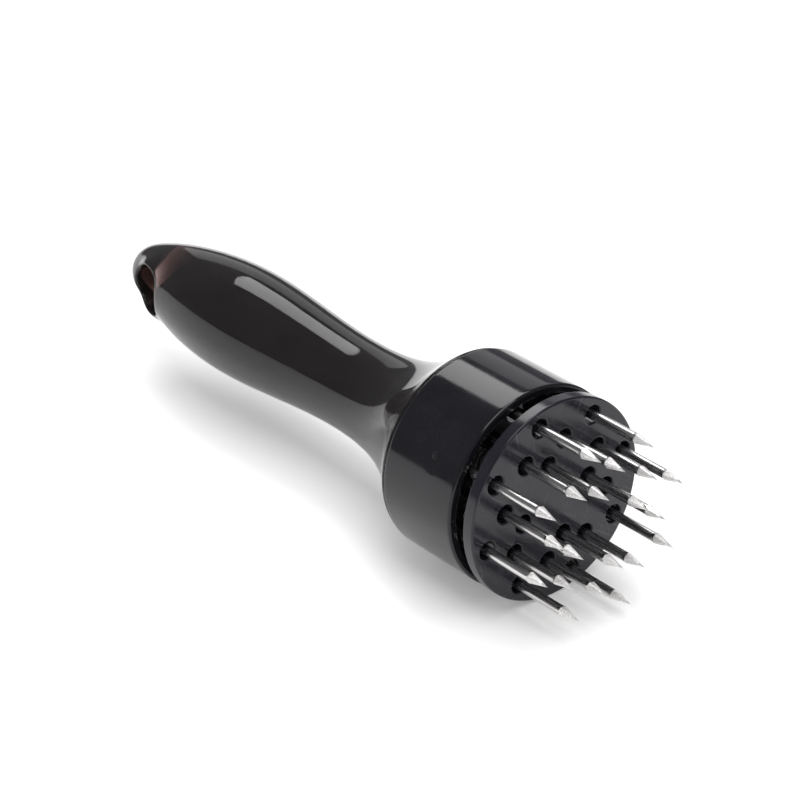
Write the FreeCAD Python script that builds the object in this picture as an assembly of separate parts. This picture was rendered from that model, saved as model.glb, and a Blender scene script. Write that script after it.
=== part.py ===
import FreeCAD, Part
import math
import os

from FreeCAD import Vector

# Needle meat tenderizer, lying level on its side.
# The tool's axis runs along X, with the needle tips towards +X and the underside of the head on Z = 0.
# All lengths are millimetres. A station is a distance along the axis, measured back from the needle tips.
# A roll is an angle about the axis in degrees, from +Y towards +Z.

# Head: housing cup and the pieces inside it
HEAD_R = 28.0
HOUSING_WALL = 2.4
HOUSING_LENGTH = 25.8
HOUSING_EDGE_FILLET = 0.8
SHELF_THICK = 2.0
SHELF_WIDTH = 3.3
DISC_CLEARANCE = 0.3
HOLDER_THICK = 4.4
BACKING_THICK = 2.0

# Needles
NEEDLE_R = 1.3
POINT_BASE_R = 1.42
POINT_LENGTH = 5.8
POINT_COLLAR = 1.0
POINT_NECK = 2.2
NAIL_HEAD_R = 1.9
NAIL_HEAD_THICK = 1.0
NEEDLE_CLEARANCE = 0.05
NEEDLE_TO_WALL = 2.1
OUTER_RING_COUNT = 8
MIDDLE_RING_STEP = 6.3
MIDDLE_RING_COUNT = 8
INNER_RING_STEP = 5.95
INNER_RING_COUNT = 4
RING_ROLL_ANGLE = -30.0

# Presser plate and its plunger
NEEDLE_SHOWING = 22.0
PLATE_THICK = 3.6
PLATE_FRONT_FILLET = 1.0
PLATE_BACK_FILLET = 0.4
PLATE_HOLE_R = 2.5
PLATE_HOLE_CHAMFER = 0.4
PLATE_GAP = 5.0
PLATE_BOSS_R = 5.6
PLATE_BOSS_HEIGHT = 4.0
STEM_R = 4.0
STEM_SPIGOT_R = 3.0
STEM_SOCKET_FLOOR = 2.0
STEM_TRAVEL = 25.0
STOP_CLEARANCE = 0.05
STEM_HOLE_DEPTH = 12.0

# Guide bush, stop washer and stop screw
BUSH_RUNNING_CLEARANCE = 0.05
BUSH_R = 5.6
BUSH_FLANGE_R = 8.0
BUSH_FLANGE_THICK = 1.5
WASHER_R = 6.5
WASHER_THICK = 1.5
WASHER_HOLE_R = 1.9
STOP_SCREW_R = 1.6
STOP_SCREW_HEAD_R = 3.2
STOP_SCREW_HEAD_HEIGHT = 2.2
STOP_SCREW_HEAD_FILLET = 0.7
SCREW_END_CLEARANCE = 1.0

# Return spring
SPRING_WIRE_R = 0.5
SPRING_BOSS_CLEARANCE = 0.35
SPRING_TURNS = 12
SPRING_END_PITCH = 1.5
SPRING_START_ANGLE = 200.0

# Fixing screws, which clamp the holder, the backing plate and the housing's shelf to the handle
SCREW_COUNT = 4
SCREW_RING_STEP = 2.7
SCREW_R = 1.5
SCREW_LENGTH = 18.0
SCREW_HEAD_R = 2.8
SCREW_HEAD_HEIGHT = 2.0
SCREW_HOLE_CLEARANCE = 0.2
SCREW_PILOT_CLEARANCE = 0.02
BOSS_R = 3.2
CROSS_WIDTH = 0.8
CROSS_DEPTH = 1.1

# Handle: flange, spigot and cavity, then the grip's outline as radii at places behind the flange's
# front face or ahead of the grip's end
FLANGE_INSET = 0.4
FLANGE_THICK = 1.4
SPIGOT_CLEARANCE = 0.2
SPIGOT_WALL = 1.6
CAVITY_SHOULDER_AT = 5.0
CAVITY_SHOULDER_STEP = 1.9
CAVITY_THROAT_AT = 18.0
CAVITY_THROAT_R = 11.4
CAVITY_WAIST_AT = 28.0
CAVITY_WAIST_R = 8.0
BORE_CLEARANCE = 0.7
BORE_END_CLEARANCE = 2.0
FLARE_INSET = 0.6
THROAT_AT = 11.8
THROAT_R = 20.2
NECK_AT = 21.6
NECK_R = 16.0
WAIST_AT = 43.6
WAIST_R = 13.0
SWELL_FROM_END = 76.1
SWELL_R = 14.3
PALM_FROM_END = 50.6
PALM_R = 15.9
HEEL_FROM_END = 29.1
HEEL_R = 14.1
TOE_FROM_END = 14.6
TOE_R = 10.9
TOE_SLOPE = 0.32
CROWN_REACH = 8.0
CROWN_R = 6.6
GRIP_LENGTH = 144.6

# Hanging hole, which goes through the grip's end along Y, and the length of the end that holds it
HANGING_HOLE_R = 7.3
HANGING_HOLE_FROM_END = 16.2
HOLE_TO_END_FACE = 8.0

# Stations worked out from the sizes above
PLATE_FRONT = NEEDLE_SHOWING
PLATE_BACK = PLATE_FRONT + PLATE_THICK
HOUSING_FRONT = PLATE_BACK + PLATE_GAP
HOUSING_BACK = HOUSING_FRONT + HOUSING_LENGTH
SHELF_FRONT = HOUSING_BACK - SHELF_THICK
BACKING_FRONT = SHELF_FRONT - BACKING_THICK
HOLDER_FRONT = BACKING_FRONT - HOLDER_THICK
BUSH_STOP = SHELF_FRONT + BUSH_FLANGE_THICK
STEM_REAR = BUSH_STOP + STEM_TRAVEL + STOP_CLEARANCE
PLUNGER_END = STEM_REAR + WASHER_THICK + STOP_SCREW_HEAD_HEIGHT
BORE_END = PLUNGER_END + PLATE_GAP + BORE_END_CLEARANCE
BORE_END_R = WASHER_R + BORE_CLEARANCE
LENGTH = HOUSING_BACK + GRIP_LENGTH
AXIS_Z = HEAD_R
HOUSING_INNER_R = HEAD_R - HOUSING_WALL
DISC_R = HOUSING_INNER_R - DISC_CLEARANCE
SHELF_INNER_R = HOUSING_INNER_R - SHELF_WIDTH
SPIGOT_R = SHELF_INNER_R - SPIGOT_CLEARANCE
CAVITY_MOUTH_R = SPIGOT_R - SPIGOT_WALL
CAVITY_SHOULDER_R = CAVITY_MOUTH_R - CAVITY_SHOULDER_STEP
FLANGE_R = HEAD_R - FLANGE_INSET
FLARE_R = FLANGE_R - FLARE_INSET
OUTER_RING_R = HOUSING_INNER_R - NEEDLE_TO_WALL
MIDDLE_RING_R = OUTER_RING_R - MIDDLE_RING_STEP
INNER_RING_R = MIDDLE_RING_R - INNER_RING_STEP
SCREW_RING_R = MIDDLE_RING_R - SCREW_RING_STEP
END_FACE = LENGTH - HANGING_HOLE_FROM_END - HANGING_HOLE_R - HOLE_TO_END_FACE
ALONG = Vector(1, 0, 0)


def point(station, out=0.0, side=0.0):
    """A point at a station, so far above the axis and so far to its +Y side."""
    return Vector(LENGTH / 2 - station, side, AXIS_Z + out)


def rod(front, back, radius, centre=(0.0, 0.0)):
    """A cylinder along the axis between two stations, centred on (y, z) offsets from the axis."""
    y, z = centre
    return Part.makeCylinder(radius, back - front, point(back, z, y), ALONG)


def taper(front, back, front_r, back_r, centre=(0.0, 0.0)):
    """A cone frustum along the axis between two stations."""
    y, z = centre
    return Part.makeCone(back_r, front_r, back - front, point(back, z, y), ALONG)


def turned(edges):
    """A solid of revolution about the tool's axis from a closed outline of edges."""
    face = Part.Face(Part.Wire(edges))
    return face.revolve(point(0), ALONG, 360)


def line(a, b):
    """A straight edge between two (station, radius) pairs."""
    return Part.LineSegment(point(*a), point(*b)).toShape()


def outline(corners):
    """Straight edges through (station, radius) pairs, closed back to the first."""
    return [line(a, b) for a, b in zip(corners, corners[1:] + corners[:1])]


def ring(radius, count, roll):
    """Evenly spaced (y, z) places on a circle about the axis."""
    rolls = [math.radians(roll + 360.0 * k / count) for k in range(count)]
    return [(radius * math.cos(a), radius * math.sin(a)) for a in rolls]


def needle_places():
    """The (y, z) place of each needle: outer, middle, then inner ring."""
    middle_roll = RING_ROLL_ANGLE + 180.0 / MIDDLE_RING_COUNT
    places = ring(OUTER_RING_R, OUTER_RING_COUNT, RING_ROLL_ANGLE)
    places += ring(MIDDLE_RING_R, MIDDLE_RING_COUNT, middle_roll)
    inner_roll = RING_ROLL_ANGLE + 180.0 / INNER_RING_COUNT
    places += ring(INNER_RING_R, INNER_RING_COUNT, inner_roll)
    return places


def screw_places():
    """The fixing screws stand between the inner needles."""
    return ring(SCREW_RING_R, SCREW_COUNT, RING_ROLL_ANGLE)


def circle_edges(solid, station, radius):
    """The solid's circular edges of one radius at one station, for fillets and chamfers."""
    found = []
    for edge in solid.Edges:
        if not hasattr(edge.Curve, "Radius"):
            continue
        same_radius = abs(edge.Curve.Radius - radius) < 1e-4
        same_station = abs(edge.Curve.Center.x - point(station).x) < 1e-4
        if same_radius and same_station:
            found.append(edge)
    return found


def cross_recess(front, reach, centre=(0.0, 0.0)):
    """Two crossed bars that cut a driver recess into a screw head, back from the station front."""
    y, z = centre
    bars = []
    for half_y, half_z in ((reach, CROSS_WIDTH / 2), (CROSS_WIDTH / 2, reach)):
        corner = point(front + CROSS_DEPTH, z - half_z, y - half_y)
        bars.append(Part.makeBox(CROSS_DEPTH, 2 * half_y, 2 * half_z, corner))
    return bars[0].fuse(bars[1])


def needle(place):
    """A nail-like needle: flat head, round shank, and a point cut by four facets."""
    head = rod(BACKING_FRONT - NAIL_HEAD_THICK, BACKING_FRONT, NAIL_HEAD_R, place)
    collar_back = POINT_LENGTH + POINT_COLLAR
    shank = rod(collar_back + POINT_NECK, BACKING_FRONT - NAIL_HEAD_THICK, NEEDLE_R, place)
    neck = taper(collar_back, collar_back + POINT_NECK, POINT_BASE_R, NEEDLE_R, place)
    round_point = rod(0, collar_back, POINT_BASE_R, place)
    y, z = place
    reach = POINT_BASE_R * collar_back / POINT_LENGTH
    corners = [(-reach, -reach), (reach, -reach), (reach, reach), (-reach, reach)]
    base = [point(collar_back, z + dz, y + dy) for dy, dz in corners]
    apex = point(0, z, y)
    sides = [Part.Face(Part.makePolygon([a, b, apex, a])) for a, b in zip(base, base[1:] + base[:1])]
    floor = Part.Face(Part.makePolygon(base + base[:1]))
    pyramid = Part.Solid(Part.Shell(sides + [floor]))
    tip = round_point.common(pyramid)
    return shank.fuse([head, neck, tip]).removeSplitter()


def needle_holder():
    """The disc that the needles stand in, counterbored behind for their heads."""
    disc = rod(HOLDER_FRONT, BACKING_FRONT, DISC_R)
    cuts = [rod(HOLDER_FRONT, BACKING_FRONT, BUSH_R)]
    for place in needle_places():
        cuts.append(rod(HOLDER_FRONT, BACKING_FRONT, NEEDLE_R + NEEDLE_CLEARANCE, place))
        recess_r = NAIL_HEAD_R + DISC_CLEARANCE
        cuts.append(rod(BACKING_FRONT - NAIL_HEAD_THICK, BACKING_FRONT, recess_r, place))
    for place in screw_places():
        cuts.append(rod(HOLDER_FRONT, BACKING_FRONT, SCREW_R + SCREW_HOLE_CLEARANCE, place))
    return disc.cut(cuts)


def backing_plate():
    """The disc behind the holder that keeps the needle heads in their recesses."""
    disc = rod(BACKING_FRONT, SHELF_FRONT, DISC_R)
    cuts = [rod(BACKING_FRONT, SHELF_FRONT, BUSH_R)]
    for place in screw_places():
        cuts.append(rod(BACKING_FRONT, SHELF_FRONT, SCREW_R + SCREW_HOLE_CLEARANCE, place))
    return disc.cut(cuts)


def housing_cup():
    """The head's outer wall, with a shelf behind that is clamped under the handle's flange."""
    cup = rod(HOUSING_FRONT, HOUSING_BACK, HEAD_R)
    hollow = rod(HOUSING_FRONT, SHELF_FRONT, HOUSING_INNER_R)
    mouth = rod(SHELF_FRONT, HOUSING_BACK, SHELF_INNER_R)
    cup = cup.cut([hollow, mouth])
    front = circle_edges(cup, HOUSING_FRONT, HEAD_R)
    cup = cup.makeFillet(HOUSING_EDGE_FILLET, front)
    back = circle_edges(cup, HOUSING_BACK, HEAD_R)
    return cup.makeFillet(HOUSING_EDGE_FILLET / 2, back)


def presser_plate():
    """The round plate that slides over the needles, with a boss behind for the stem."""
    disc = rod(PLATE_FRONT, PLATE_BACK, HEAD_R)
    disc = disc.makeFillet(PLATE_FRONT_FILLET, circle_edges(disc, PLATE_FRONT, HEAD_R))
    disc = disc.makeFillet(PLATE_BACK_FILLET, circle_edges(disc, PLATE_BACK, HEAD_R))
    boss_back = PLATE_BACK + PLATE_BOSS_HEIGHT
    plate = disc.fuse(rod(PLATE_BACK, boss_back, PLATE_BOSS_R)).removeSplitter()
    cuts = [rod(PLATE_FRONT + STEM_SOCKET_FLOOR, boss_back, STEM_SPIGOT_R)]
    for place in needle_places():
        cuts.append(rod(PLATE_FRONT, PLATE_BACK, PLATE_HOLE_R, place))
        wide = PLATE_HOLE_R + PLATE_HOLE_CHAMFER
        mouth = PLATE_FRONT + PLATE_HOLE_CHAMFER
        cuts.append(taper(PLATE_FRONT, mouth, wide, PLATE_HOLE_R, place))
    return plate.cut(cuts)


def plunger_stem():
    """The stem that carries the plate: a spigot in the plate's boss, then the sliding shank."""
    boss_back = PLATE_BACK + PLATE_BOSS_HEIGHT
    spigot = rod(PLATE_FRONT + STEM_SOCKET_FLOOR, boss_back, STEM_SPIGOT_R)
    shank = rod(boss_back, STEM_REAR, STEM_R)
    tapped = rod(STEM_REAR - STEM_HOLE_DEPTH, STEM_REAR, STOP_SCREW_R)
    return shank.fuse(spigot).removeSplitter().cut(tapped)


def guide_bush():
    """The flanged bush in the holder and the backing plate that the stem slides in."""
    sleeve = rod(HOLDER_FRONT, SHELF_FRONT, BUSH_R)
    flange = rod(SHELF_FRONT, BUSH_STOP, BUSH_FLANGE_R)
    bore = rod(HOLDER_FRONT, BUSH_STOP, STEM_R + BUSH_RUNNING_CLEARANCE)
    return sleeve.fuse(flange).removeSplitter().cut(bore)


def stop_washer():
    """The washer on the stem's end that meets the bush when the plate is right out."""
    disc = rod(STEM_REAR, STEM_REAR + WASHER_THICK, WASHER_R)
    return disc.cut(rod(STEM_REAR, STEM_REAR + WASHER_THICK, WASHER_HOLE_R))


def stop_screw():
    """The screw that holds the washer on the stem."""
    head_front = STEM_REAR + WASHER_THICK
    head_back = head_front + STOP_SCREW_HEAD_HEIGHT
    head = rod(head_front, head_back, STOP_SCREW_HEAD_R)
    head = head.makeFillet(STOP_SCREW_HEAD_FILLET, circle_edges(head, head_back, STOP_SCREW_HEAD_R))
    shank = rod(STEM_REAR - STEM_HOLE_DEPTH + SCREW_END_CLEARANCE, head_front, STOP_SCREW_R)
    recess = cross_recess(head_back - CROSS_DEPTH, STOP_SCREW_HEAD_R / 2)
    return head.fuse(shank).cut(recess)


def fixing_screw(place):
    """A screw driven from the front, through the holder and backing plate into the handle."""
    head_front = HOLDER_FRONT - SCREW_HEAD_HEIGHT
    head = rod(head_front, HOLDER_FRONT, SCREW_HEAD_R, place)
    shank = rod(HOLDER_FRONT, HOLDER_FRONT + SCREW_LENGTH, SCREW_R, place)
    recess = cross_recess(head_front, SCREW_HEAD_R / 2, place)
    return head.fuse(shank).cut(recess)


def grip_edges():
    """The grip's outline from the flange: a smooth curve to the toe, then the rounded crown."""
    stations = [
        (HOUSING_BACK + FLANGE_THICK, FLARE_R),
        (HOUSING_BACK + THROAT_AT, THROAT_R),
        (HOUSING_BACK + NECK_AT, NECK_R),
        (HOUSING_BACK + WAIST_AT, WAIST_R),
        (LENGTH - SWELL_FROM_END, SWELL_R),
        (LENGTH - PALM_FROM_END, PALM_R),
        (LENGTH - HEEL_FROM_END, HEEL_R),
        (LENGTH - TOE_FROM_END, TOE_R),
    ]
    side = Part.BSplineCurve()
    side.interpolate([point(station, radius) for station, radius in stations])
    crown = Part.BezierCurve()
    crown.setPoles([
        point(LENGTH - TOE_FROM_END, TOE_R),
        point(LENGTH - TOE_FROM_END + CROWN_REACH, TOE_R - TOE_SLOPE * CROWN_REACH),
        point(LENGTH, CROWN_R),
        point(LENGTH, 0.0),
    ])
    return [side.toShape(), crown.toShape()]


def hanging_hole():
    """The round hole through the grip's end, along Y."""
    centre = point(LENGTH - HANGING_HOLE_FROM_END, 0.0, -HEAD_R)
    return Part.makeCylinder(HANGING_HOLE_R, 2 * HEAD_R, centre, Vector(0, 1, 0))


def handle_cavity():
    """The hollow from the spigot's mouth through the flare to the end of the plunger's bore."""
    corners = [
        (SHELF_FRONT, 0.0),
        (SHELF_FRONT, CAVITY_MOUTH_R),
        (HOUSING_BACK + FLANGE_THICK, CAVITY_MOUTH_R),
        (HOUSING_BACK + CAVITY_SHOULDER_AT, CAVITY_SHOULDER_R),
        (HOUSING_BACK + CAVITY_THROAT_AT, CAVITY_THROAT_R),
        (HOUSING_BACK + CAVITY_WAIST_AT, CAVITY_WAIST_R),
        (BORE_END, BORE_END_R),
        (BORE_END + BORE_END_R / 2, BORE_END_R / 2),
        (BORE_END + BORE_END_R / 2, 0.0),
    ]
    return turned(outline(corners))


def handle_outside():
    """The whole handle's outer form, from the flange to the crown."""
    start = HOUSING_BACK
    edges = [
        line((start, 0.0), (start, FLANGE_R)),
        line((start, FLANGE_R), (start + FLANGE_THICK, FLANGE_R)),
        line((start + FLANGE_THICK, FLANGE_R), (start + FLANGE_THICK, FLARE_R)),
        *grip_edges(),
        line((LENGTH, 0.0), (start, 0.0)),
    ]
    return turned(edges)


def handle_shell():
    """Flange, flare, waist and grip as far as the end face, with a spigot and screw bosses in front."""
    spigot = rod(SHELF_FRONT, HOUSING_BACK, SPIGOT_R)
    outside = handle_outside().cut(rod(END_FACE, LENGTH, HEAD_R)).fuse(spigot)
    shell = outside.cut(handle_cavity())
    boss_back = HOUSING_BACK + CAVITY_THROAT_AT
    pilot_back = HOLDER_FRONT + SCREW_LENGTH + SCREW_END_CLEARANCE
    for place in screw_places():
        shell = shell.fuse(rod(SHELF_FRONT, boss_back, BOSS_R, place).common(outside))
    pilots = [
        rod(SHELF_FRONT, pilot_back, SCREW_R + SCREW_PILOT_CLEARANCE, place) for place in screw_places()
    ]
    return shell.cut(pilots).removeSplitter()


def handle_end():
    """The grip's end, which the hanging hole goes through, behind the end face."""
    return handle_outside().common(rod(END_FACE, LENGTH, HEAD_R)).cut(hanging_hole())


def spring_point(turn, radius, first, rise):
    """A point on the spring's centreline, and its direction, after so many turns."""
    blend_turns = SPRING_TURNS - 2.0
    middle_pitch = (rise - 2 * SPRING_END_PITCH) / blend_turns
    if turn < 1.0:
        along, pitch = turn * SPRING_END_PITCH, SPRING_END_PITCH
    elif turn > SPRING_TURNS - 1.0:
        along = rise - (SPRING_TURNS - turn) * SPRING_END_PITCH
        pitch = SPRING_END_PITCH
    else:
        along = SPRING_END_PITCH + (turn - 1.0) * middle_pitch
        pitch = middle_pitch
    if abs(turn - 1.0) < 1e-9 or abs(turn - SPRING_TURNS + 1.0) < 1e-9:
        pitch = (middle_pitch + SPRING_END_PITCH) / 2
    roll = math.radians(SPRING_START_ANGLE + 360.0 * turn)
    place = point(first + along, radius * math.sin(roll), radius * math.cos(roll))
    speed = 2 * math.pi * radius
    direction = Vector(-pitch, -speed * math.sin(roll), speed * math.cos(roll))
    return place, direction.normalize()


def biarc(start, start_way, end, end_way):
    """Two arcs that leave start along start_way and reach end along end_way."""
    span = end - start
    ways = start_way + end_way
    bend = 2 * (1 - start_way.dot(end_way))
    reach = (-span.dot(ways) + math.sqrt(span.dot(ways) ** 2 + bend * span.dot(span))) / bend
    first_corner = start + start_way * reach
    second_corner = end - end_way * reach
    joint = (first_corner + second_corner) * 0.5
    arcs = []
    for a, corner, b in ((start, first_corner, joint), (joint, second_corner, end)):
        chord_middle = (a + b) * 0.5
        out = corner - chord_middle
        half_chord = (b - a).Length / 2
        half_angle = math.atan2(out.Length, half_chord)
        crown = chord_middle + out.normalize() * (half_chord * math.tan(half_angle / 2))
        arcs.append(Part.Arc(a, crown, b).toShape())
    return arcs


def least_gap_to_itself(centres, wire_r, skip):
    """The least gap between turns, measured on points along the centreline."""
    least = float("inf")
    for i, a in enumerate(centres):
        for b in centres[i + skip:]:
            least = min(least, (a - b).Length)
    return least - 2 * wire_r


def return_spring():
    """The open compression spring between the presser plate and the needle holder."""
    radius = PLATE_BOSS_R + SPRING_BOSS_CLEARANCE + SPRING_WIRE_R
    first = PLATE_BACK + SPRING_WIRE_R
    rise = HOLDER_FRONT - SPRING_WIRE_R - first
    quarters = 4 * SPRING_TURNS
    knots = [spring_point(k / 4.0, radius, first, rise) for k in range(quarters + 1)]
    edges = []
    for (a, a_way), (b, b_way) in zip(knots, knots[1:]):
        edges += biarc(a, a_way, b, b_way)
    path = Part.Wire(edges)
    section = Part.Wire(Part.Circle(knots[0][0], knots[0][1], SPRING_WIRE_R).toShape())
    spring = path.makePipeShell([section], True, False)
    samples_per_turn = 36
    count = samples_per_turn * SPRING_TURNS
    centres = [spring_point(k / samples_per_turn, radius, first, rise)[0] for k in range(count + 1)]
    gap = least_gap_to_itself(centres, SPRING_WIRE_R, samples_per_turn // 2)
    print("return_spring: least gap between turns %.2f mm" % gap)
    return spring


def nodes():
    """Every piece of the tool, by name."""
    made = {
        "handle_shell": handle_shell(),
        "handle_end": handle_end(),
        "housing_cup": housing_cup(),
        "needle_holder": needle_holder(),
        "backing_plate": backing_plate(),
        "guide_bush": guide_bush(),
        "presser_plate": presser_plate(),
        "plunger_stem": plunger_stem(),
        "return_spring": return_spring(),
        "stop_washer": stop_washer(),
        "stop_screw": stop_screw(),
        "fixing_screws": Part.makeCompound([fixing_screw(place) for place in screw_places()]),
    }
    for number, place in enumerate(needle_places(), start=1):
        made["needle_%02d" % number] = needle(place)
    return made


os.makedirs("parts", exist_ok=True)
for name, shape in nodes().items():
    shape.exportStep("parts/%s.step" % name)
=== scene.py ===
import math

import bmesh
import bpy
import numpy
from mathutils import Matrix, Vector


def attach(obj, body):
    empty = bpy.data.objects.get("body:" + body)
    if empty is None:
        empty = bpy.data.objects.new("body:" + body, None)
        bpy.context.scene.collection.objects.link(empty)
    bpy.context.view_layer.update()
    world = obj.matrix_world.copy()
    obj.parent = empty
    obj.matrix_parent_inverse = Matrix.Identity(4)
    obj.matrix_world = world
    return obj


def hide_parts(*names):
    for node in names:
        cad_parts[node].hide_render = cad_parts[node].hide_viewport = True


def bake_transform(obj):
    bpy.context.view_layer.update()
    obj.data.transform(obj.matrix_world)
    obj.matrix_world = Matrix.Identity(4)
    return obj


# Needle meat tenderizer, lying level: its axis runs along X and the needle tips point to +X.
# Lengths are in millimetres until they reach Blender, which takes metres.
# A roll is an angle about the axis in degrees, from +Y towards +Z.

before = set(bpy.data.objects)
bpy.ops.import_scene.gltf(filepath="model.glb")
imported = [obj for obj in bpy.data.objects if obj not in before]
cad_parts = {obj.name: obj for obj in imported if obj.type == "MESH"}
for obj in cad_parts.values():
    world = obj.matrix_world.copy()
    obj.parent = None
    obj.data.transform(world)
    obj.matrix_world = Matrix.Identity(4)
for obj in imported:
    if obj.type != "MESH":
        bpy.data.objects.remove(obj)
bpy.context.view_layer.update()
MM = 0.001
AXIS_Z = 28.0
CENTRE = Vector((0.0, 0.0, AXIS_Z * MM))

TIP_X = 100.5
PLATE_FRONT_X = 78.5
PLATE_BACK_X = 74.9
PLATE_R = 28.0
HOUSING_FRONT_X = 69.9
SHELF_X = 46.1
HOUSING_BACK_X = 44.1
HOUSING_R = 28.0
HOUSING_INNER_R = 25.6
HOLDER_FRONT_X = 52.5
BACKING_FRONT_X = 48.1
RING_ROLL = -30.0
NEEDLE_RINGS = ((23.5, 8, RING_ROLL), (17.2, 8, RING_ROLL + 22.5), (11.25, 4, RING_ROLL + 45.0))
SCREW_RING = (14.5, 4, RING_ROLL)
GATE_X, GATE_ROLL = 60.2, math.radians(150.4)
SINK_MARKS = ((60.6, 155.5, 0.14, 2.4), (64.8, 153.2, 0.14, 2.4), (60.4, 145.8, 0.10, 2.0))
HOLE_X = -84.3
HOLE_R = 7.3


# Working by hand: one piece at a time, in and out of edit mode, with faces and edges picked by place

def alone(piece):
    """Leaves one piece selected and active."""
    bpy.ops.object.select_all(action="DESELECT")
    piece.select_set(True)
    bpy.context.view_layer.objects.active = piece
    return piece


def named(name):
    """Names the object that the last primitive made."""
    piece = bpy.context.active_object
    piece.name = name
    piece.data.name = name
    return alone(piece)


def to_edit(piece, mode="FACE"):
    """Opens a piece in edit mode with nothing selected."""
    alone(piece)
    bpy.ops.object.mode_set(mode="EDIT")
    bpy.ops.mesh.select_mode(type=mode)
    bpy.ops.mesh.select_all(action="DESELECT")


def to_object():
    bpy.ops.object.mode_set(mode="OBJECT")


def pick(piece, kind, wanted):
    """Selects the faces, edges or verts that wanted(x, y, z, item) says yes to, in mm."""
    grid = bmesh.from_edit_mesh(piece.data)
    bpy.ops.mesh.select_all(action="DESELECT")
    count = 0
    for item in getattr(grid, kind):
        if kind == "verts":
            place = item.co
        elif kind == "edges":
            place = (item.verts[0].co + item.verts[1].co) / 2
        else:
            place = item.calc_center_median()
        if wanted(place.x / MM, place.y / MM, place.z / MM, item):
            item.select_set(True)
            count += 1
    grid.select_flush_mode()
    bmesh.update_edit_mesh(piece.data)
    return count


def moved(x, y, z):
    return {"value": (x * MM, y * MM, z * MM)}


def finish_modifier(piece, kind, **settings):
    """Adds a modifier, sets it and applies it."""
    alone(piece)
    modifier = piece.modifiers.new(kind.title(), kind)
    for key, value in settings.items():
        setattr(modifier, key, value)
    bpy.ops.object.modifier_apply(modifier=modifier.name)


def smoothed(piece, angle=35.0):
    alone(piece)
    bpy.ops.object.shade_smooth_by_angle(angle=math.radians(angle))


def copied(piece, name):
    """A copy with its own mesh."""
    alone(piece)
    bpy.ops.object.duplicate(linked=False)
    return named(name)


def settle(piece):
    """Puts a piece's place and turn into its mesh."""
    alone(piece)
    bpy.ops.object.transform_apply(location=True, rotation=True, scale=True)


def lathe(name, profile, steps=96, closed=True, centre=(0.0, 0.0)):
    """A turned piece from (x, radius) pairs about the axis, or about a line (y, z) off it.

    A closed profile has its last pair joined to its first; an open one starts and ends on the axis.
    """
    y, z = centre
    bpy.ops.object.select_all(action="DESELECT")
    bpy.ops.mesh.primitive_plane_add(size=2 * MM, location=(0, 0, 0))
    piece = named(name)
    to_edit(piece, "VERT")
    bpy.ops.mesh.select_all(action="SELECT")
    bpy.ops.mesh.merge(type="CENTER")
    first_x, first_r = profile[0]
    bpy.ops.transform.translate(**moved(first_x, y, AXIS_Z + z + first_r))
    for (x0, r0), (x1, r1) in zip(profile, profile[1:]):
        bpy.ops.mesh.extrude_vertices_move(TRANSFORM_OT_translate=moved(x1 - x0, 0, r1 - r0))
    if closed:
        ends = ((profile[0]), (profile[-1]))
        top = AXIS_Z + z
        pick(piece, "verts", lambda px, py, pz, v: any(
            abs(px - ex) < 1e-3 and abs(pz - top - er) < 1e-3 for ex, er in ends))
        bpy.ops.mesh.edge_face_add()
    bpy.ops.mesh.select_all(action="SELECT")
    axis_point = (0.0, y * MM, (AXIS_Z + z) * MM)
    bpy.ops.mesh.spin(steps=steps, angle=math.tau, center=axis_point, axis=(1, 0, 0))
    bpy.ops.mesh.select_all(action="SELECT")
    bpy.ops.mesh.remove_doubles(threshold=1e-6)
    bpy.ops.mesh.normals_make_consistent(inside=False)
    to_object()
    return piece


def arc(x, r, radius, start, end, steps=5):
    """(x, radius) pairs along an arc round a centre, angles in degrees from +X towards outwards."""
    turns = [math.radians(start + (end - start) * k / steps) for k in range(steps + 1)]
    return [(x + radius * math.cos(t), r + radius * math.sin(t)) for t in turns]


def ring_places(radius, count, roll):
    """Evenly spaced (y, z) places round the axis."""
    rolls = [math.radians(roll + 360.0 * k / count) for k in range(count)]
    return [(radius * math.cos(a), radius * math.sin(a)) for a in rolls]


def needle_places():
    return [place for needles in NEEDLE_RINGS for place in ring_places(*needles)]


# Grip: a cage turned in 16 segments, with the hanging hole bridged through it, then subdivided

GRIP_SEGMENTS = 16
GRIP_SIDE = (
    (42.7, 27.0), (32.3, 20.2), (22.5, 16.0), (0.5, 13.0), (-24.4, 14.3), (-49.9, 15.9), (-71.4, 14.1), (-85.9, 10.9),
)
GRIP_CROWN = ((-85.9, 10.9), (-93.9, 8.34), (-100.5, 6.6), (-100.5, 0.0))
FLARE_STATIONS = (42.7, 38.7, 34.2, 29.2, 23.7, 18.0)
WAIST_STATIONS = tuple(12.0 - 6.0 * k for k in range(12))
HEEL_STATIONS = (-59.8, -65.4, -70.8, -76.2, -81.6)
CROWN_STATIONS = (-87.0, -92.4, -96.4, -99.0, -100.2)
CAVITY = (
    (5.3, 1.8), (5.6, 3.9), (6.9, 5.8), (8.9, 7.15), (12.5, 7.6), (16.1, 8.1), (21.0, 9.5), (26.1, 11.5),
    (33.0, 15.1), (39.1, 18.6), (41.0, 19.7), (42.7, 20.35), (44.6, 20.5), (45.7, 20.5),
)
BOSS_R, PILOT_R = 3.2, 1.52
BOSS_BACK_X, PILOT_BACK_X = 27.3, 33.5
CAGE_OUT = 6.0 / (4.0 + 2.0 * math.cos(math.tau / GRIP_SEGMENTS))


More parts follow.
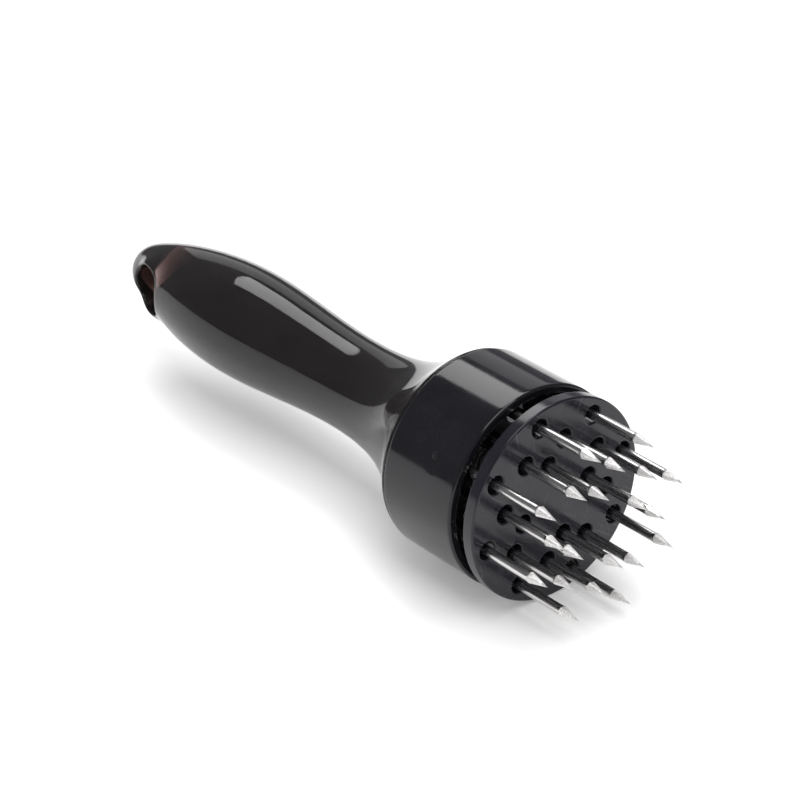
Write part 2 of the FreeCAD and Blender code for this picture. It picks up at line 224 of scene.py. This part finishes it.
def smooth_side(points, steps=400):
    """The curve through the side's points: cubics that join smoothly, spaced by the chords between the points.

    At each end the slope is that of one cubic through the four nearest points, as the CAD's curve has it.
    """
    places = numpy.array(points)
    chords = numpy.linalg.norm(numpy.diff(places, axis=0), axis=1)
    along = numpy.concatenate(([0.0], numpy.cumsum(chords)))
    joins, pulls = numpy.eye(len(points)), numpy.zeros(places.shape)
    for k in range(1, len(points) - 1):
        before, after = chords[k - 1], chords[k]
        joins[k, k - 1:k + 2] = 1 / before, 2 / before + 2 / after, 1 / after
        pulls[k] = 3 * ((places[k] - places[k - 1]) / before ** 2 + (places[k + 1] - places[k]) / after ** 2)
    for end, near in ((0, slice(0, 4)), (-1, slice(-4, None))):
        cube, square, straight, _ = numpy.polyfit(along[near], places[near], 3)
        pulls[end] = 3 * cube * along[end] ** 2 + 2 * square * along[end] + straight
    slopes = numpy.linalg.solve(joins, pulls)
    t = numpy.linspace(0.0, 1.0, steps)[:, None]
    curve = []
    for k, chord in enumerate(chords):
        start, end = places[k], places[k + 1]
        leave, arrive = chord * slopes[k], chord * slopes[k + 1]
        curve.extend(start + t * leave + t ** 2 * (3 * (end - start) - 2 * leave - arrive)
                     + t ** 3 * (2 * (start - end) + leave + arrive))
    return numpy.array(curve)


def crown_curve(corners, steps=2000):
    """A Bezier curve over the grip's end."""
    a, b, c, d = (numpy.array(corner) for corner in corners)
    t = numpy.linspace(0.0, 1.0, steps)[:, None]
    return a * (1 - t) ** 3 + 3 * b * t * (1 - t) ** 2 + 3 * c * t ** 2 * (1 - t) + d * t ** 3


def radii_at(curve, stations):
    """(x, radius) pairs of a curve at given places along the axis, from front to back."""
    radii = numpy.interp([-x for x in stations], -curve[:, 0], curve[:, 1])
    return [(x, float(radius)) for x, radius in zip(stations, radii)]


def cage_through(pairs):
    """The cage points whose smooth curve passes through the given points: a few corrections."""
    cage = [Vector(p) for p in pairs]
    for _ in range(12):
        for k in range(1, len(pairs) - 1):
            limit = (cage[k - 1] + 4 * cage[k] + cage[k + 1]) / 6
            cage[k] += Vector(pairs[k]) - limit
    return [(p.x, p.y) for p in cage]


def grip():
    flange = [
        (46.1, 20.9), (46.1, 21.7), (45.8, 22.1), (44.4, 22.1), (44.1, 22.35), (44.1, 27.2), (43.85, 27.55),
        (43.0, 27.55), (42.75, 27.35),
    ]
    side = radii_at(smooth_side(GRIP_SIDE), FLARE_STATIONS + WAIST_STATIONS + HEEL_STATIONS)
    outside = cage_through(side + radii_at(crown_curve(GRIP_CROWN), CROWN_STATIONS))
    inside = cage_through(CAVITY)
    profile = inside + flange + outside[1:]
    profile = [(x, r * CAGE_OUT) for x, r in profile]
    piece = lathe_open_ends("smoked_grip", profile, GRIP_SEGMENTS)
    hanging_hole(piece)
    finish_modifier(piece, "SUBSURF", levels=3, render_levels=3)
    screw_bosses(piece)
    smoothed(piece, 50.0)
    return piece


def lathe_open_ends(name, profile, steps):
    """A turned cage whose two ends are closed by flat faces, turned half a step so that faces look at +Y."""
    piece = lathe(name, profile, steps, closed=False)
    to_edit(piece)
    bpy.ops.mesh.select_all(action="SELECT")
    bpy.ops.transform.rotate(value=math.pi / steps, orient_axis="X", center_override=CENTRE)
    bpy.ops.mesh.select_mode(type="EDGE")
    for end_x in (profile[0][0], profile[-1][0]):
        pick(piece, "edges", lambda x, y, z, e: e.is_boundary and abs(x - end_x) < 0.01)
        bpy.ops.mesh.edge_face_add()
    bpy.ops.mesh.select_all(action="SELECT")
    bpy.ops.mesh.normals_make_consistent(inside=False)
    to_object()
    return piece


def hanging_hole(piece):
    """Opens both sides over the hole, rounds the two openings and bridges them."""
    to_edit(piece)
    pick(piece, "faces", lambda x, y, z, f: -92.0 < x < -76.5 and abs(z - AXIS_Z) < 6.0 and abs(y) > 4.0)
    bpy.ops.mesh.delete(type="FACE")
    bpy.ops.mesh.select_mode(type="VERT")
    for side in (-1, 1):
        count = pick(piece, "verts", lambda x, y, z, v: v.is_boundary and y * side > 0)
        grid = bmesh.from_edit_mesh(piece.data)
        rim = [(v.index, v.co.copy()) for v in grid.verts if v.select]
        for index, co in rim:
            across = Vector((co.x - HOLE_X * MM, 0.0, co.z - AXIS_Z * MM))
            across = across.normalized() * (HOLE_R + 1.5) * MM
            goal = Vector((HOLE_X * MM + across.x, co.y, AXIS_Z * MM + across.z))
            bpy.ops.mesh.select_all(action="DESELECT")
            grid = bmesh.from_edit_mesh(piece.data)
            grid.verts.ensure_lookup_table()
            grid.verts[index].select_set(True)
            grid.select_flush_mode()
            bpy.ops.transform.translate(value=goal - co)
        middle = (HOLE_X * MM, 0.0, AXIS_Z * MM)
        for grow, sink in ((0.9, 0.15), (0.965, 1.0), (1.0, 1.4)):
            pick(piece, "verts", lambda x, y, z, v: v.is_boundary and y * side > 0)
            bpy.ops.mesh.extrude_edges_move(TRANSFORM_OT_translate=moved(0, -side * sink, 0))
            bpy.ops.transform.resize(value=(grow, 1, grow), center_override=middle)
    bpy.ops.mesh.select_mode(type="EDGE")
    pick(piece, "edges", lambda x, y, z, e: e.is_boundary)
    bpy.ops.mesh.bridge_edge_loops(number_cuts=3)
    bpy.ops.mesh.select_all(action="SELECT")
    bpy.ops.mesh.normals_make_consistent(inside=False)
    to_object()


def screw_bosses(piece):
    """Four bosses inside the flare, which the fixing screws go into."""
    profile = [
        (BOSS_BACK_X, 0.0), (BOSS_BACK_X, BOSS_R), (SHELF_X - 0.05, BOSS_R), (SHELF_X - 0.05, PILOT_R),
        (PILOT_BACK_X, PILOT_R), (PILOT_BACK_X, 0.0),
    ]
    bosses = [lathe("screw_boss", profile, 32, closed=False, centre=place) for place in ring_places(*SCREW_RING)]
    alone(bosses[0])
    for boss in bosses:
        boss.select_set(True)
    bpy.ops.object.join()
    joined = named("screw_bosses")
    finish_modifier(piece, "BOOLEAN", operation="UNION", object=joined, solver="EXACT")
    bpy.data.objects.remove(joined)


# Housing, presser plate and the pieces on the plunger

def housing():
    back_round = arc(HOUSING_BACK_X + 0.7, HOUSING_R - 0.7, 0.7, 180, 90, 8)
    front_round = arc(HOUSING_FRONT_X - 0.8, HOUSING_R - 0.8, 0.8, 90, 0, 8)
    mouth = arc(HOUSING_FRONT_X - 0.35, HOUSING_INNER_R + 0.35, 0.35, 0, -90, 4)
    straight = [(44.8 + 24.3 * k / 32, HOUSING_R) for k in range(1, 32)]
    profile = [(HOUSING_BACK_X, 22.3)] + back_round + straight + front_round + mouth
    profile += [(47.1, HOUSING_INNER_R), (46.4, 25.3), (SHELF_X, 24.6), (SHELF_X, 22.3)]
    piece = lathe("housing_cup_moulding", profile, 160)
    for x, roll, depth, reach in SINK_MARKS:
        pressed(piece, x, roll, depth, reach)
    mark = gate_mark()
    alone(piece)
    mark.select_set(True)
    bpy.ops.object.join()
    smoothed(piece, 40.0)
    return piece


def pressed(piece, x, roll, depth, reach):
    """A shallow soft dimple in the outside of a turned piece."""
    turn = math.radians(roll)
    outwards = Vector((0.0, math.cos(turn), math.sin(turn)))
    place = CENTRE + Vector((x * MM, 0.0, 0.0)) + outwards * HOUSING_R * MM
    to_edit(piece, "VERT")
    grid = bmesh.from_edit_mesh(piece.data)
    nearest = min(grid.verts, key=lambda v: (v.co - place).length)
    nearest.select_set(True)
    grid.select_flush_mode()
    bmesh.update_edit_mesh(piece.data)
    bpy.ops.transform.translate(
        value=-outwards * depth * MM, use_proportional_edit=True, use_proportional_connected=True,
        proportional_edit_falloff="SMOOTH", proportional_size=reach * MM)
    to_object()


def gate_mark():
    """The small ring and pip that the mould's gate leaves on the housing's side."""
    ring = [(-0.5, 0.70), (0.06, 0.70), (0.12, 0.78), (0.12, 0.90), (0.06, 1.0), (-0.5, 1.0)]
    pip = [(-0.5, 0.0), (-0.5, 0.36), (0.06, 0.36), (0.12, 0.28), (0.14, 0.0)]
    parts = [
        lathe("gate_ring", [(HOUSING_R + x, r) for x, r in ring], 28, centre=(0.0, -AXIS_Z)),
        lathe("gate_pip", [(HOUSING_R + x, r) for x, r in pip], 20, closed=False, centre=(0.0, -AXIS_Z)),
    ]
    alone(parts[0])
    parts[1].select_set(True)
    bpy.ops.object.join()
    mark = named("gate_mark")
    mark.rotation_euler = Vector((0.0, math.cos(GATE_ROLL), math.sin(GATE_ROLL))).to_track_quat("X", "Z").to_euler()
    mark.location = CENTRE + Vector((GATE_X * MM, 0.0, 0.0))
    settle(mark)
    return mark


def presser_plate():
    front = arc(PLATE_FRONT_X - 0.6, PLATE_R - 0.6, 0.6, 0, 90, 8)
    back = arc(PLATE_BACK_X + 0.4, PLATE_R - 0.4, 0.4, 90, 180, 4)
    boss = [(PLATE_BACK_X, 6.2), (PLATE_BACK_X - 0.4, 5.75), (PLATE_BACK_X - 0.8, 5.6)]
    boss += [(PLATE_BACK_X - 3.7, 5.6), (PLATE_BACK_X - 4.0, 5.3), (PLATE_BACK_X - 4.0, 3.0)]
    profile = [(PLATE_FRONT_X, 0.0)] + front + back + boss + [(PLATE_FRONT_X - 2.0, 3.0), (PLATE_FRONT_X - 2.0, 0.0)]
    piece = lathe("presser_plate_disc", profile, 128, closed=False)
    front_r, flare = 2.5, 0.55
    hole = [(PLATE_BACK_X - 1.0, 0.0), (PLATE_BACK_X - 1.0, 2.9), (PLATE_BACK_X + 0.25, 2.5)]
    hole += [(PLATE_FRONT_X + 0.01 - flare + flare * math.sin(t), front_r + flare - flare * math.cos(t))
             for t in [math.radians(a) for a in (0, 15, 30, 45, 60, 75, 88)]]
    hole += [(PLATE_FRONT_X + 1.0, front_r + flare + 0.4), (PLATE_FRONT_X + 1.0, 0.0)]
    cutters = []
    for number, place in enumerate(needle_places(), start=1):
        cutters.append(lathe("plate_hole_%02d" % number, hole, 40, closed=False, centre=place))
    alone(cutters[0])
    for cutter in cutters:
        cutter.select_set(True)
    bpy.ops.object.join()
    holes = named("plate_holes")
    finish_modifier(piece, "BOOLEAN", operation="DIFFERENCE", object=holes, solver="EXACT")
    bpy.data.objects.remove(holes)
    smoothed(piece, 40.0)
    finish_modifier(piece, "WEIGHTED_NORMAL", keep_sharp=True)
    return piece


def needles():
    """One needle turned and cut to a four-sided point, then copied with its own roll."""
    rolls = (12, 51, 33, 78, 20, 64, 5, 41, 70, 27, 58, 9, 83, 36, 16, 47, 61, 30, 74, 2)
    pieces = []
    places = needle_places()
    first_y, first_z = places[0]
    shank, base, point_length = 1.27, 1.50, 6.0
    shoulder = TIP_X - point_length
    profile = [
        (BACKING_FRONT_X, 0.0), (BACKING_FRONT_X, 1.75), (BACKING_FRONT_X + 0.2, 1.9),
        (BACKING_FRONT_X + 0.8, 1.9), (BACKING_FRONT_X + 1.0, 1.7), (BACKING_FRONT_X + 1.0, shank + 0.03),
        (BACKING_FRONT_X + 1.3, shank), (60.0, shank), (76.0, shank), (90.0, shank + 0.04), (93.2, shank + 0.05),
        (shoulder - 0.35, shank + 0.10), (shoulder - 0.1, base - 0.03), (shoulder, base),
        (TIP_X - 3.0, base * 3.0 / point_length), (TIP_X, 0.0),
    ]
    model = lathe("needle_01_steel", profile, 32, closed=False, centre=(first_y, first_z))
    point = Vector((TIP_X, first_y, AXIS_Z + first_z)) * MM
    slope = math.atan2(base * 0.84, point_length)
    for side in range(4):
        turn = math.radians(90 * side)
        normal = Vector((math.sin(slope), math.cos(slope) * math.cos(turn), math.cos(slope) * math.sin(turn)))
        to_edit(model)
        bpy.ops.mesh.select_all(action="SELECT")
        bpy.ops.mesh.bisect(plane_co=point, plane_no=normal, use_fill=True, clear_outer=True, threshold=1e-7)
        to_object()
    smoothed(model, 30.0)
    for number, ((y, z), roll) in enumerate(zip(places, rolls), start=1):
        name = "needle_%02d_steel" % number
        piece = model if number == 1 else copied(model, name)
        pieces.append((piece, y - first_y, z - first_z, roll))
    for piece, dy, dz, roll in pieces:
        to_edit(piece)
        bpy.ops.mesh.select_all(action="SELECT")
        middle = Vector((0.0, first_y * MM, (AXIS_Z + first_z) * MM))
        bpy.ops.transform.rotate(value=math.radians(roll), orient_axis="X", center_override=middle)
        bpy.ops.transform.translate(**moved(0, dy, dz))
        to_object()
    return [piece for piece, *_ in pieces]


def return_spring():
    """Twelve turns of wire between the plate and the needle holder."""
    wire, mean, turns = 0.5, 6.45, 12
    front, back = PLATE_BACK_X - wire, HOLDER_FRONT_X + wire
    bpy.ops.object.select_all(action="DESELECT")
    bpy.ops.mesh.primitive_circle_add(vertices=12, radius=wire * MM, location=(0, 0, mean * MM),
                                      rotation=(math.radians(90), 0, 0))
    piece = named("spring_wire")
    settle(piece)
    finish_modifier(piece, "SCREW", axis="X", angle=math.tau, screw_offset=(front - back) / turns * MM,
                    iterations=turns, steps=36, render_steps=36, use_merge_vertices=False)
    to_edit(piece, "EDGE")
    bpy.ops.mesh.select_all(action="SELECT")
    bpy.ops.mesh.fill_holes(sides=0)
    bpy.ops.mesh.select_all(action="SELECT")
    bpy.ops.mesh.normals_make_consistent(inside=False)
    bpy.ops.transform.rotate(value=math.radians(-70.0), orient_axis="X", center_override=(0, 0, 0))
    bpy.ops.transform.translate(**moved(back, 0, AXIS_Z))
    to_object()
    smoothed(piece, 60.0)
    return piece


# Materials

def material(name):
    made = bpy.data.materials.new(name)
    made.use_nodes = True
    nodes = made.node_tree.nodes
    shader = nodes["Principled BSDF"]
    return made, made.node_tree, shader


def add(tree, kind, **settings):
    node = tree.nodes.new(kind)
    for key, value in settings.items():
        if key in node.inputs:
            node.inputs[key].default_value = value
        else:
            setattr(node, key, value)
    return node


def stretched_place(tree, scale):
    """Object coordinates, stretched by a mapping."""
    place = add(tree, "ShaderNodeTexCoord")
    mapping = add(tree, "ShaderNodeMapping")
    mapping.inputs["Scale"].default_value = scale
    tree.links.new(place.outputs["Object"], mapping.inputs["Vector"])
    return mapping.outputs["Vector"]


def noise(tree, vector, scale, detail=3.0, roughness=0.5):
    node = add(tree, "ShaderNodeTexNoise")
    node.inputs["Scale"].default_value = scale
    node.inputs["Detail"].default_value = detail
    node.inputs["Roughness"].default_value = roughness
    tree.links.new(vector, node.inputs["Vector"])
    return node.outputs["Fac"]


def spread(tree, value, low, high, from_low=0.35, from_high=0.65):
    """Maps a noise to a range of numbers."""
    node = add(tree, "ShaderNodeMapRange")
    node.inputs["From Min"].default_value = from_low
    node.inputs["From Max"].default_value = from_high
    node.inputs["To Min"].default_value = low
    node.inputs["To Max"].default_value = high
    tree.links.new(value, node.inputs["Value"])
    return node.outputs["Result"]


def tinted(tree, value, dark, light, from_low=0.35, from_high=0.65):
    """Maps a noise to a range of colours."""
    node = add(tree, "ShaderNodeValToRGB")
    node.color_ramp.elements[0].position = from_low
    node.color_ramp.elements[0].color = (*dark, 1.0)
    node.color_ramp.elements[1].position = from_high
    node.color_ramp.elements[1].color = (*light, 1.0)
    tree.links.new(value, node.inputs["Fac"])
    return node.outputs["Color"]


def bumped(tree, shader, height, strength, distance):
    node = add(tree, "ShaderNodeBump")
    node.inputs["Strength"].default_value = strength
    node.inputs["Distance"].default_value = distance
    tree.links.new(height, node.inputs["Height"])
    tree.links.new(node.outputs["Normal"], shader.inputs["Normal"])


def scratches(tree, turn, across, along, least):
    """A few hairline scratches across the plate's front face: 1 in a scratch, 0 elsewhere."""
    place = add(tree, "ShaderNodeTexCoord")
    turned = add(tree, "ShaderNodeMapping")
    turned.inputs["Rotation"].default_value = (math.radians(turn), 0.0, 0.0)
    tree.links.new(place.outputs["Object"], turned.inputs["Vector"])
    stretched = add(tree, "ShaderNodeMapping")
    stretched.inputs["Scale"].default_value = (0.0, along, across)
    tree.links.new(turned.outputs["Vector"], stretched.inputs["Vector"])
    hairs = noise(tree, stretched.outputs["Vector"], 1.0, 1.0, 0.5)
    where = add(tree, "ShaderNodeSeparateXYZ")
    tree.links.new(place.outputs["Object"], where.inputs["Vector"])
    on_front = add(tree, "ShaderNodeMath", operation="MULTIPLY")
    tree.links.new(spread(tree, hairs, 0.0, 1.0, least, least + 0.03), on_front.inputs[0])
    tree.links.new(spread(tree, where.outputs["X"], 0.0, 1.0, 0.07825, 0.07840), on_front.inputs[1])
    return on_front.outputs["Value"]


def moulded_plastic(name, dark, light, rough_low, rough_high, specular, bump, worn=False):
    """Moulded plastic: faint flow marks in colour and gloss, a very fine skin, and scratches where worn."""
    made, tree, shader = material(name)
    place = stretched_place(tree, (1, 1, 1))
    flow = noise(tree, place, 90.0, 4.0)
    colour = tinted(tree, flow, dark, light)
    for turn, least in ((35.0, 0.715), (-62.0, 0.725), (80.0, 0.735)) if worn else ():
        scratched = add(tree, "ShaderNodeMix", data_type="RGBA")
        tree.links.new(scratches(tree, turn, 2600.0, 70.0, least), scratched.inputs["Factor"])
        tree.links.new(colour, scratched.inputs["A"])
        scratched.inputs["B"].default_value = (0.075, 0.073, 0.08, 1.0)
        colour = scratched.outputs["Result"]
    tree.links.new(colour, shader.inputs["Base Color"])
    patch = noise(tree, place, 260.0, 5.0, 0.6)
    tree.links.new(spread(tree, patch, rough_low, rough_high), shader.inputs["Roughness"])
    skin = noise(tree, place, 1800.0, 2.0)
    bumped(tree, shader, skin, bump, 0.0002)
    shader.inputs["Specular IOR Level"].default_value = specular
    return made


def smoked_plastic():
    """Clear brown-black plastic: light dies in it within a few millimetres."""
    made, tree, shader = material("smoked_grip")
    place = stretched_place(tree, (1, 1, 1))
    patch = noise(tree, place, 60.0, 3.0)
    tree.links.new(spread(tree, patch, 0.03, 0.07), shader.inputs["Roughness"])
    tree.links.new(tinted(tree, patch, (0.56, 0.49, 0.49), (0.62, 0.55, 0.54)), shader.inputs["Base Color"])
    shader.inputs["Transmission Weight"].default_value = 0.98
    shader.inputs["IOR"].default_value = 1.38
    inside = add(tree, "ShaderNodeVolumeAbsorption")
    inside.inputs["Color"].default_value = (0.67, 0.61, 0.60, 1.0)
    inside.inputs["Density"].default_value = 1250.0
    tree.links.new(inside.outputs["Volume"], tree.nodes["Material Output"].inputs["Volume"])
    return made


def steel(name, dark, light, rough_low, rough_high, stretch, frosted=False):
    """Drawn or turned steel with fine marks that run along the wire."""
    made, tree, shader = material(name)
    shader.inputs["Metallic"].default_value = 1.0
    place = stretched_place(tree, stretch)
    marks = noise(tree, place, 5000.0, 3.0, 0.6)
    colour = tinted(tree, marks, dark, light)
    rough = spread(tree, marks, rough_low, rough_high)
    if frosted:
        point = stretched_place(tree, (1, 1, 1))
        grain = noise(tree, point, 3200.0, 3.0, 0.75)
        where = add(tree, "ShaderNodeSeparateXYZ")
        coords = add(tree, "ShaderNodeTexCoord")
        tree.links.new(coords.outputs["Object"], where.inputs["Vector"])
        mask = spread(tree, where.outputs["X"], 0.0, 1.0, 0.0943, 0.0946)
        ground = tinted(tree, grain, (0.58, 0.57, 0.56), (0.96, 0.95, 0.94), 0.40, 0.60)
        colours = add(tree, "ShaderNodeMix", data_type="RGBA")
        tree.links.new(mask, colours.inputs["Factor"])
        tree.links.new(colour, colours.inputs["A"])
        tree.links.new(ground, colours.inputs["B"])
        colour = colours.outputs["Result"]
        frost = spread(tree, grain, 0.34, 0.46)
        roughs = add(tree, "ShaderNodeMix", data_type="FLOAT")
        tree.links.new(mask, roughs.inputs["Factor"])
        tree.links.new(rough, roughs.inputs["A"])
        tree.links.new(frost, roughs.inputs["B"])
        rough = roughs.outputs["Result"]
        tree.links.new(spread(tree, mask, 1.0, 0.5, 0.0, 1.0), shader.inputs["Metallic"])
    tree.links.new(colour, shader.inputs["Base Color"])
    tree.links.new(rough, shader.inputs["Roughness"])
    bumped(tree, shader, marks, 0.04, 0.00003)
    return made


def dress(piece, finish):
    """Gives a piece or a CAD node one material."""
    if not piece.data.materials:
        piece.data.materials.append(finish)
    for number in range(len(piece.data.materials)):
        piece.data.materials[number] = finish


GRIP_BODY, PRESSER = "grip_body", "presser"
SMOKED = smoked_plastic()
HOUSING_BLACK = moulded_plastic("housing_black", (0.008, 0.008, 0.010), (0.012, 0.012, 0.015), 0.08, 0.12, 0.34, 0.03)
PLATE_BLACK = moulded_plastic("plate_black", (0.011, 0.010, 0.015), (0.016, 0.015, 0.021), 0.10, 0.18, 0.36, 0.05,
                              worn=True)
HOLDER_BLACK = moulded_plastic("holder_black", (0.010, 0.010, 0.011), (0.016, 0.016, 0.017), 0.32, 0.45, 0.3, 0.3)
NYLON = moulded_plastic("bush_nylon", (0.56, 0.53, 0.46), (0.66, 0.63, 0.56), 0.4, 0.5, 0.4, 0.2)
NEEDLE_STEEL = steel("needle_steel", (0.58, 0.57, 0.56), (0.68, 0.67, 0.66), 0.22, 0.28, (0.02, 1, 1), True)
STEM_STEEL = steel("stem_steel", (0.45, 0.45, 0.46), (0.66, 0.66, 0.67), 0.18, 0.30, (1.0, 0.2, 0.2))
SPRING_STEEL = steel("spring_steel", (0.40, 0.40, 0.42), (0.58, 0.58, 0.60), 0.22, 0.34, (1.0, 1.0, 1.0))
ZINC = steel("zinc_steel", (0.52, 0.53, 0.54), (0.68, 0.69, 0.70), 0.28, 0.42, (1.0, 1.0, 1.0))


# The pieces, dressed and set on their bodies

def set_on(piece, body, nodes, finish):
    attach(piece, body)
    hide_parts(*nodes)
    dress(piece, finish)


set_on(grip(), GRIP_BODY, ("handle_shell", "handle_end"), SMOKED)
set_on(housing(), GRIP_BODY, ("housing_cup",), HOUSING_BLACK)
set_on(presser_plate(), PRESSER, ("presser_plate",), PLATE_BLACK)
for number, needle in enumerate(needles(), start=1):
    set_on(needle, GRIP_BODY, ("needle_%02d" % number,), NEEDLE_STEEL)

spring = return_spring()
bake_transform(spring)
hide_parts("return_spring")
dress(spring, SPRING_STEEL)

KEPT_NODES = {
    "needle_holder": HOLDER_BLACK, "backing_plate": HOLDER_BLACK, "guide_bush": NYLON, "plunger_stem": STEM_STEEL,
    "stop_washer": ZINC, "stop_screw": ZINC, "fixing_screws": ZINC,
}
for node, finish in KEPT_NODES.items():
    dress(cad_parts[node], finish)


# Floor, light and camera

def backdrop_mix(tree, lit, shown, output):
    """Shows one shader to the camera, reflections and clear plastic, and the other to the light."""
    path = add(tree, "ShaderNodeLightPath")
    seen = path.outputs["Is Camera Ray"]
    for ray in ("Is Glossy Ray", "Is Transmission Ray"):
        either = add(tree, "ShaderNodeMath", operation="MAXIMUM")
        tree.links.new(seen, either.inputs[0])
        tree.links.new(path.outputs[ray], either.inputs[1])
        seen = either.outputs["Value"]
    mix = add(tree, "ShaderNodeMixShader")
    tree.links.new(seen, mix.inputs["Fac"])
    tree.links.new(lit, mix.inputs[1])
    tree.links.new(shown, mix.inputs[2])
    tree.links.new(mix.outputs["Shader"], output)


def studio_floor():
    bpy.ops.object.select_all(action="DESELECT")
    bpy.ops.mesh.primitive_plane_add(size=8.0, location=(0, 0, 0))
    floor = named("studio_floor")
    made, tree, shader = material("pale_floor")
    place = stretched_place(tree, (1, 1, 1))
    tree.links.new(tinted(tree, noise(tree, place, 6.0), (0.86, 0.86, 0.86), (0.88, 0.88, 0.88)),
                   shader.inputs["Base Color"])
    shader.inputs["Roughness"].default_value = 0.8
    shader.inputs["Specular IOR Level"].default_value = 0.1
    glow = add(tree, "ShaderNodeEmission")
    glow.inputs["Strength"].default_value = 0.2
    both = add(tree, "ShaderNodeAddShader")
    tree.links.new(shader.outputs["BSDF"], both.inputs[0])
    tree.links.new(glow.outputs["Emission"], both.inputs[1])
    backdrop_mix(tree, shader.outputs["BSDF"], both.outputs["Shader"],
                 tree.nodes["Material Output"].inputs["Surface"])
    floor.data.materials.append(made)


def surroundings():
    world = bpy.data.worlds.new("studio_air")
    bpy.context.scene.world = world
    world.use_nodes = True
    tree = world.node_tree
    lit = tree.nodes["Background"]
    lit.inputs["Color"].default_value = (1.0, 1.0, 1.0, 1.0)
    lit.inputs["Strength"].default_value = 0.65
    shown = add(tree, "ShaderNodeBackground")
    shown.inputs["Color"].default_value = (1.0, 1.0, 1.0, 1.0)
    shown.inputs["Strength"].default_value = 1.0
    backdrop_mix(tree, lit.outputs["Background"], shown.outputs["Background"],
                 tree.nodes["World Output"].inputs["Surface"])


def softbox(name, place, target, width, height, power):
    """A rectangular lamp whose width runs along the tool."""
    bpy.ops.object.light_add(type="AREA", location=place)
    lamp = bpy.context.active_object
    lamp.name = name
    lamp.data.shape = "RECTANGLE"
    lamp.data.size = width
    lamp.data.size_y = height
    lamp.data.energy = power
    back = (Vector(place) - Vector(target)).normalized()
    along = (Vector((1.0, 0.0, 0.0)) - back * back.x).normalized()
    lamp.rotation_euler = Matrix((along, back.cross(along), back)).transposed().to_euler()
    return lamp


def dark_surround():
    """Dark studio walls that only reflections see, so that glossy black stays black between the lamps."""
    bpy.ops.object.select_all(action="DESELECT")
    bpy.ops.mesh.primitive_cylinder_add(vertices=96, radius=2.7, depth=2.7, end_fill_type="NGON",
                                        location=(0, 0, 1.35))
    walls = named("dark_surround")
    to_edit(walls)
    pick(walls, "faces", lambda x, y, z, f: z < -1000.0)
    bpy.ops.mesh.delete(type="FACE")
    to_object()
    made, tree, shader = material("dark_wall")
    place = stretched_place(tree, (1, 1, 1))
    tree.links.new(tinted(tree, noise(tree, place, 1.5), (0.16, 0.16, 0.175), (0.22, 0.22, 0.235)),
                   shader.inputs["Base Color"])
    shader.inputs["Roughness"].default_value = 0.9
    walls.data.materials.append(made)
    walls.visible_camera = False
    walls.visible_shadow = False
    walls.visible_diffuse = False
    walls.visible_transmission = False


def camera():
    bpy.ops.object.camera_add(location=(0.5302, -0.4274, 0.3946),
                              rotation=(math.radians(90.0 - 28.57), 0.0, math.radians(50.20)))
    made = bpy.context.active_object
    made.name = "photo_view"
    made.data.sensor_width = 36.0
    made.data.lens = 128.97
    made.data.clip_start = 0.01
    made.data.clip_end = 20.0
    made.data.dof.use_dof = False
    bpy.context.scene.camera = made


studio_floor()
surroundings()
softbox("key_softbox", (-0.90, 0.60, 1.62), (0, 0, 0.02), 1.3, 0.82, 14.6)
softbox("top_softbox", (0.5, -0.2, 2.0), (0, 0, 0.02), 1.5, 1.5, 24.0)
softbox("back_panel", (-1.45, 1.45, 0.92), (0, 0, 0.02), 1.7, 0.85, 3.0)
dark_surround()
camera()
bpy.context.scene.view_settings.view_transform = "Standard"
